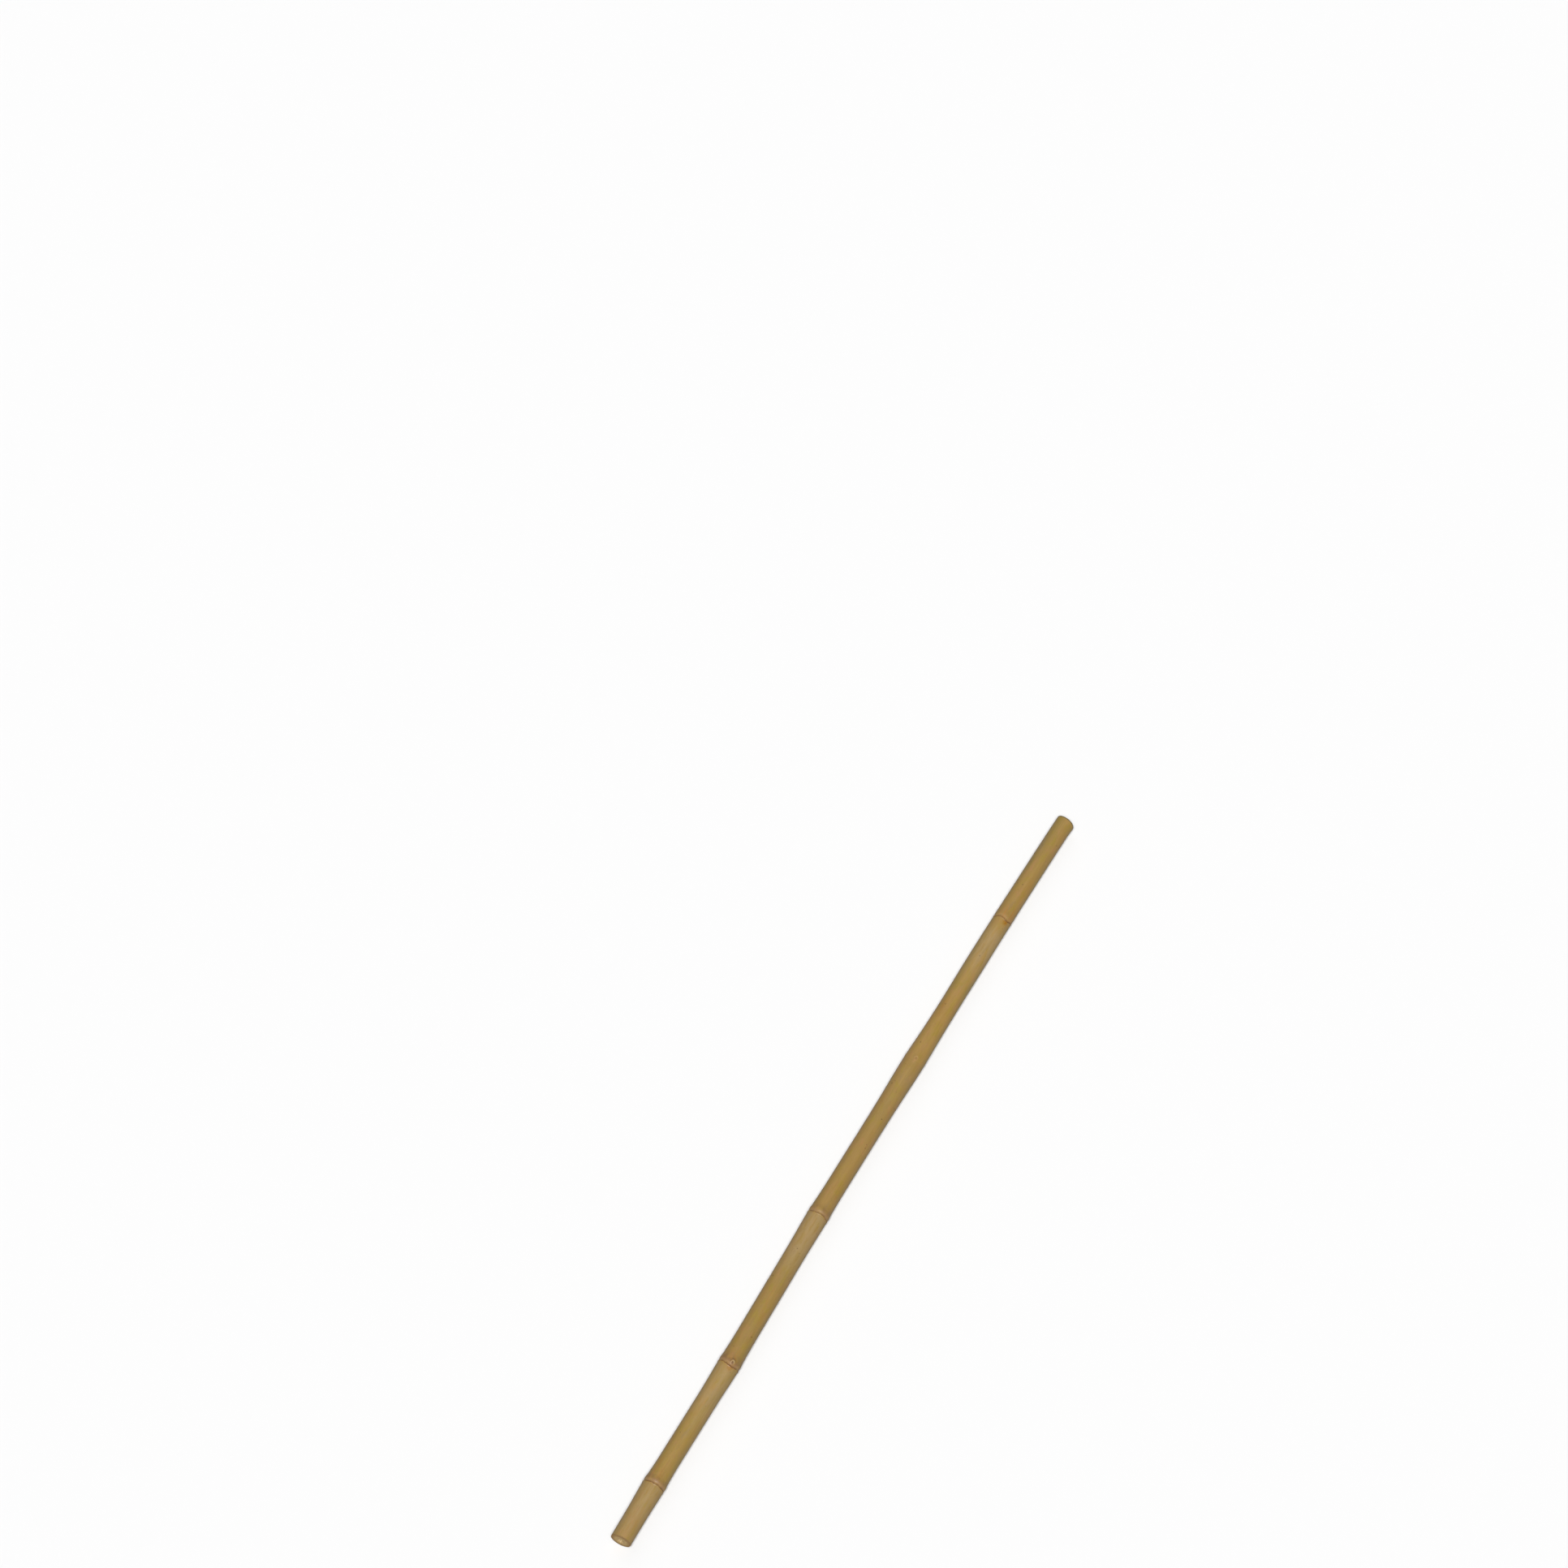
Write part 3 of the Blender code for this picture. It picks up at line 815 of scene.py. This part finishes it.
    colour = colour_mix(tree, dark, colour, SPECK_BROWN)
    soiled = calc(tree, "SUBTRACT", noise_of(tree, spot, (0.35, 1.3, 1.3), 4.0, 0.6), 0.5)
    edge = ramp_of(tree, calc(tree, "MULTIPLY_ADD", soiled, 0.8, kept_mark(tree, "near_cut")), 0.3, 0.85)
    colour = colour_mix(tree, edge, colour, RIM_GREEN)
    tree.links.new(colour, shader.inputs["Base Color"])

    rough = calc(tree, "MULTIPLY_ADD", grain["Fine"], 0.16, 0.36)
    rough = calc(tree, "MULTIPLY_ADD", bloom, 0.14, rough)
    rough = calc(tree, "MULTIPLY_ADD", scar, 0.2, rough)
    rough = calc(tree, "MULTIPLY_ADD", edge, 0.3, rough)
    tree.links.new(rough, shader.inputs["Roughness"])
    shader.inputs["Specular IOR Level"].default_value = 0.45
    tree.links.new(bumped(tree, grain["Height"], 0.018 * MM), shader.inputs["Normal"])
    return material


FLESH = srgb(196, 166, 112)
BUNDLE = srgb(112, 74, 40)
VESSEL = srgb(60, 40, 24)
RIM = srgb(134, 98, 56)
LINING = srgb(206, 186, 142)
LINING_STREAK = srgb(160, 128, 80)
FACE_RADIUS_MM = 6.6


def cut_wood():
    """Sawn bamboo: pale flesh with dark fibre bundles, small and crowded towards the skin."""
    material, tree, shader = new_material("cut_wood")
    spot = object_mm(tree)
    on_face = vector_of(tree, calc(tree, "MULTIPLY", kept_mark(tree, "across"), 1 / MM),
                        calc(tree, "MULTIPLY", kept_mark(tree, "rise"), 1 / MM))
    outwards = tree.nodes.new("ShaderNodeVectorMath")
    outwards.operation = "LENGTH"
    tree.links.new(on_face, outwards.inputs[0])
    share = calc(tree, "DIVIDE", outwards.outputs["Value"], FACE_RADIUS_MM)
    cells = tree.nodes.new("ShaderNodeTexVoronoi")
    cells.voronoi_dimensions = "2D"
    cells.inputs["Scale"].default_value = 1.9
    cells.inputs["Randomness"].default_value = 0.8
    crowded = vector_calc(tree, "SCALE", on_face, calc(tree, "POWER", share, 0.6))
    tree.links.new(crowded, cells.inputs["Vector"])
    own = tree.nodes.new("ShaderNodeSeparateColor")
    tree.links.new(cells.outputs["Color"], own.inputs[0])
    width = calc(tree, "MULTIPLY_ADD", own.outputs[0], 0.14, 0.20)
    bundles = ramp_of(tree, cells.outputs["Distance"], width, calc(tree, "MULTIPLY", width, 0.6))
    bundles = calc(tree, "MULTIPLY", bundles, calc(tree, "MULTIPLY_ADD", own.outputs[1], 0.5, 0.4))
    vessels = ramp_of(tree, cells.outputs["Distance"], calc(tree, "MULTIPLY", width, 0.4), 0.0)
    outward = ramp_of(tree, share, 0.5, 1.02)
    colour = colour_mix(tree, calc(tree, "MULTIPLY", outward, 0.75), FLESH, RIM)
    colour = colour_mix(tree, bundles, colour, BUNDLE)
    colour = colour_mix(tree, calc(tree, "MULTIPLY", vessels, 0.7), colour, VESSEL)
    saw = noise_of(tree, spot, (1.0, 0.5, 4.0), 2.0)
    grime = noise_of(tree, spot, (0.3, 0.35, 0.35), 3.0, 0.6)
    light = calc(tree, "MULTIPLY_ADD", saw, 0.3, 0.85)
    light = calc(tree, "MULTIPLY", light, calc(tree, "MULTIPLY_ADD", grime, 0.5, 0.72))
    tree.links.new(vector_calc(tree, "SCALE", colour, light), shader.inputs["Base Color"])
    tree.links.new(calc(tree, "MULTIPLY_ADD", saw, 0.2, 0.65), shader.inputs["Roughness"])
    shader.inputs["Specular IOR Level"].default_value = 0.25
    height = calc(tree, "SUBTRACT", saw, calc(tree, "MULTIPLY", vessels, 0.9))
    tree.links.new(bumped(tree, height, 0.05 * MM), shader.inputs["Normal"])
    return material


def lumen_lining():
    """The papery pale lining of a hollow internode."""
    material, tree, shader = new_material("lumen_lining")
    grain = placed_group(tree, fibres, Vector=object_mm(tree))
    colour = colour_mix(tree, ramp_of(tree, grain["Broad"], 0.3, 0.75), LINING, LINING_STREAK)
    tree.links.new(colour, shader.inputs["Base Color"])
    tree.links.new(calc(tree, "MULTIPLY_ADD", grain["Fine"], 0.15, 0.7), shader.inputs["Roughness"])
    shader.inputs["Specular IOR Level"].default_value = 0.2
    tree.links.new(bumped(tree, grain["Height"], 0.04 * MM), shader.inputs["Normal"])
    return material


skin_material = bamboo_skin()
cut_material = cut_wood()
lumen_material = lumen_lining()

section = section_line()
culm_source = carrier("culm_source")
grow = culm_source.modifiers.new("grow", "NODES")
grow.node_group = culm_tree((skin_material, cut_material, lumen_material))
set_inputs(grow, Section=section, Sides=CULM_SIDES, Rings=len(section.data.vertices),
           Length=LENGTH, Unevenness=UNEVENNESS)
culm = finished_mesh(culm_source, "culm")
bpy.data.objects.remove(section)
points = np.empty(len(culm.data.vertices) * 3)
culm.data.vertices.foreach_get("co", points)
points = points.reshape(-1, 3)
to_cad = np.array((cad_low + cad_high) / 2) - (points.min(0) + points.max(0)) / 2
culm.data.transform(Matrix.Translation((to_cad[0], to_cad[1], 0)))
culm.data.shade_smooth()
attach(culm, "root")
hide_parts("cane")

# The dry fibres
# Bristly remains of the torn sheaths along the scars, and splinters that the saw raised on the
# two cut faces: thin tapered slivers, rooted in the culm and scattered by one rule.


def random_float(tree, low, high, seed):
    """A random number for each point."""
    node = tree.nodes.new("FunctionNodeRandomValue")
    node.data_type = "FLOAT"
    node.inputs[2].default_value = low
    node.inputs[3].default_value = high
    wire(tree, node.inputs["Seed"], seed)
    return node.outputs[1]


def random_vector(tree, seed):
    """A random direction for each point, up to 1 along each axis."""
    node = tree.nodes.new("FunctionNodeRandomValue")
    node.data_type = "FLOAT_VECTOR"
    node.inputs[0].default_value = (-1, -1, -1)
    node.inputs[1].default_value = (1, 1, 1)
    wire(tree, node.inputs["Seed"], seed)
    return node.outputs[0]


def fibre_tree():
    """Slivers on the faces where a mark is high, as real mesh."""
    tree, given, result = new_tree(
        "dry_fibres", "GeometryNodeTree",
        [("Source", "NodeSocketObject"), ("Mark", "NodeSocketString"),
         *floats("Lowest,Density,Length,Width,Lean,Spread,Curl"), ("Direction", "NodeSocketVector"),
         ("Seed", "NodeSocketInt"), ("Material", "NodeSocketMaterial")],
        [("Geometry", "NodeSocketGeometry")])
    value = given.outputs
    source = tree.nodes.new("GeometryNodeObjectInfo")
    tree.links.new(value["Source"], source.inputs["Object"])
    scatter = tree.nodes.new("GeometryNodeDistributePointsOnFaces")
    scatter.distribute_method = "RANDOM"
    tree.links.new(source.outputs["Geometry"], scatter.inputs["Mesh"])
    marked = calc(tree, "GREATER_THAN", read_mark(tree, value["Mark"]), value["Lowest"])
    tree.links.new(marked, scatter.inputs["Selection"])
    tree.links.new(value["Density"], scatter.inputs["Density"])
    tree.links.new(value["Seed"], scatter.inputs["Seed"])

    aim = vector_calc(tree, "SCALE", scatter.outputs["Normal"], value["Lean"])
    aim = vector_calc(tree, "ADD", aim, value["Direction"])
    stray = vector_calc(tree, "SCALE", random_vector(tree, value["Seed"]), value["Spread"])
    aim = vector_calc(tree, "ADD", aim, stray)
    turned = tree.nodes.new("FunctionNodeAlignRotationToVector")
    turned.axis = "Z"
    tree.links.new(aim, turned.inputs["Vector"])

    sliver = tree.nodes.new("GeometryNodeMeshCone")
    sliver.inputs["Vertices"].default_value = 5
    sliver.inputs["Side Segments"].default_value = 3
    sliver.inputs["Radius Top"].default_value = 0.12
    sliver.inputs["Radius Bottom"].default_value = 0.5
    sliver.inputs["Depth"].default_value = 1.0
    along = tree.nodes.new("ShaderNodeSeparateXYZ")
    position = tree.nodes.new("GeometryNodeInputPosition")
    tree.links.new(position.outputs[0], along.inputs[0])
    graded = stored(tree, sliver.outputs["Mesh"], "along", along.outputs["Z"])

    long_share = random_float(tree, low=0.25, high=1.0, seed=11)
    wide_share = random_float(tree, low=0.6, high=1.0, seed=12)
    wide = calc(tree, "MULTIPLY", value["Width"], wide_share)
    size = vector_of(tree, wide, calc(tree, "MULTIPLY", wide, 0.45),
                     calc(tree, "MULTIPLY", value["Length"], long_share))
    place = tree.nodes.new("GeometryNodeInstanceOnPoints")
    tree.links.new(scatter.outputs["Points"], place.inputs["Points"])
    tree.links.new(graded, place.inputs["Instance"])
    tree.links.new(turned.outputs[0], place.inputs["Rotation"])
    tree.links.new(size, place.inputs["Scale"])
    real = tree.nodes.new("GeometryNodeRealizeInstances")
    tree.links.new(place.outputs[0], real.inputs["Geometry"])

    bend = tree.nodes.new("ShaderNodeTexNoise")
    bend.inputs["Scale"].default_value = 900.0
    bend.inputs["Detail"].default_value = 0.0
    squared = calc(tree, "POWER", read_mark(tree, "along"), 2.0)
    curl = vector_calc(tree, "SUBTRACT", bend.outputs["Color"], (0.5, 0.5, 0.5))
    curl = vector_calc(tree, "SCALE", curl, calc(tree, "MULTIPLY", squared, value["Curl"]))
    curled = tree.nodes.new("ShaderNodeSeparateXYZ")
    tree.links.new(vector_calc(tree, "ADD", position.outputs[0], curl), curled.inputs[0])
    laid = vector_of(tree, curled.outputs["X"], curled.outputs["Y"],
                     calc(tree, "MAXIMUM", curled.outputs["Z"], 0.0))
    move = tree.nodes.new("GeometryNodeSetPosition")
    tree.links.new(real.outputs[0], move.inputs["Geometry"])
    tree.links.new(laid, move.inputs["Position"])
    paint = tree.nodes.new("GeometryNodeSetMaterial")
    tree.links.new(move.outputs[0], paint.inputs["Geometry"])
    tree.links.new(value["Material"], paint.inputs["Material"])
    tree.links.new(paint.outputs[0], result.inputs["Geometry"])
    return tree


FIBRE_DARK = srgb(126, 90, 52)
FIBRE_STRAW = srgb(190, 158, 104)


def dry_fibre():
    """Torn fibre: brown at its root and straw-coloured at its end."""
    material, tree, shader = new_material("dry_fibre")
    spot = object_mm(tree)
    tone = noise_of(tree, spot, (0.8, 1.6, 1.6), 2.0)
    along = kept_mark(tree, "along")
    share = calc(tree, "MULTIPLY_ADD", along, 0.6, calc(tree, "SUBTRACT", tone, 0.1))
    grain = placed_group(tree, fibres, Vector=spot)
    colour = colour_mix(tree, ramp_of(tree, share, 0.0, 1.0), FIBRE_DARK, FIBRE_STRAW)
    tree.links.new(colour, shader.inputs["Base Color"])
    tree.links.new(calc(tree, "MULTIPLY_ADD", grain["Fine"], 0.2, 0.6), shader.inputs["Roughness"])
    shader.inputs["Specular IOR Level"].default_value = 0.25
    return material


fibre_material = dry_fibre()
fibre_rule = fibre_tree()


def scattered_fibres(name, **settings):
    """One piece of slivers, made by the rule with its own values."""
    source = carrier(name + "_source")
    scatter = source.modifiers.new("scatter", "NODES")
    scatter.node_group = fibre_rule
    set_inputs(scatter, Source=culm, Material=fibre_material, **settings)
    piece = finished_mesh(source, name)
    piece.data.shade_smooth()
    for mark in [a.name for a in piece.data.attributes if a.data_type == "FLOAT"]:
        if mark != "along":
            piece.data.attributes.remove(piece.data.attributes[mark])
    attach(piece, "root")
    return piece


sheath_fringe = scattered_fibres(
    "sheath_fringe", Mark="torn", Lowest=0.5, Density=6.0e6, Length=0.8 * MM, Width=0.15 * MM,
    Lean=0.16, Spread=0.26, Curl=0.3 * MM, Direction=(1.0, 0.0, 0.0), Seed=4)

cut_splinters = scattered_fibres(
    "cut_splinters", Mark="frayed", Lowest=0.55, Density=2.2e6, Length=0.45 * MM, Width=0.10 * MM,
    Lean=1.0, Spread=0.55, Curl=0.2 * MM, Direction=(0.0, 0.0, 0.0), Seed=7)

# The floor and the light
# A plain white floor under even, soft light from above and behind the camera, as the
# photograph's white ground shows it. The floor throws back less light than it shows.

FLOOR_HALF = 6
FLOOR_LIT = (0.42, 0.42, 0.42, 1)
FLOOR_SHOWN = (0.82, 0.82, 0.82, 1)
SKY_LIT = 0.1
SKY_SHOWN = 0.97

floor_mesh = bpy.data.meshes.new("floor")
corners = [(x * FLOOR_HALF, y * FLOOR_HALF, 0) for x, y in ((-1, -1), (1, -1), (1, 1), (-1, 1))]
floor_mesh.from_pydata(corners, [], [(0, 1, 2, 3)])
floor = bpy.data.objects.new("floor", floor_mesh)
bpy.context.scene.collection.objects.link(floor)
floor_material, floor_nodes, floor_shader = new_material("floor")
shown = floor_nodes.nodes.new("ShaderNodeLightPath")
floor_white = colour_mix(floor_nodes, shown.outputs["Is Camera Ray"], FLOOR_LIT, FLOOR_SHOWN)
floor_nodes.links.new(floor_white, floor_shader.inputs["Base Color"])
floor_shader.inputs["Roughness"].default_value = 0.9
floor_shader.inputs["Specular IOR Level"].default_value = 0.0
floor_mesh.materials.append(floor_material)

world = bpy.data.worlds.new("studio")
bpy.context.scene.world = world
world.use_nodes = True
world.node_tree.nodes["Background"].inputs["Color"].default_value = (1, 1, 1, 1)
sky = world.node_tree
seen = sky.nodes.new("ShaderNodeLightPath")
strength = calc(sky, "MULTIPLY_ADD", seen.outputs["Is Camera Ray"], SKY_SHOWN - SKY_LIT, SKY_LIT)
sky.links.new(strength, sky.nodes["Background"].inputs["Strength"])


def soft_sun(name, source, breadth, strength):
    """Even light from far away; the breadth in degrees is how soft its shadows are."""
    sun_data = bpy.data.lights.new(name, "SUN")
    sun_data.angle = math.radians(breadth)
    sun_data.energy = strength
    sun = bpy.data.objects.new(name, sun_data)
    bpy.context.scene.collection.objects.link(sun)
    sun.rotation_euler = Vector(source).to_track_quat("Z", "Y").to_euler()


soft_sun("key", (-2.3, -1.1, 5.4), breadth=20, strength=3.68)
soft_sun("fill", (3.2, 3.0, 3.8), breadth=40, strength=0.2)
bpy.context.scene.view_settings.view_transform = "Standard"
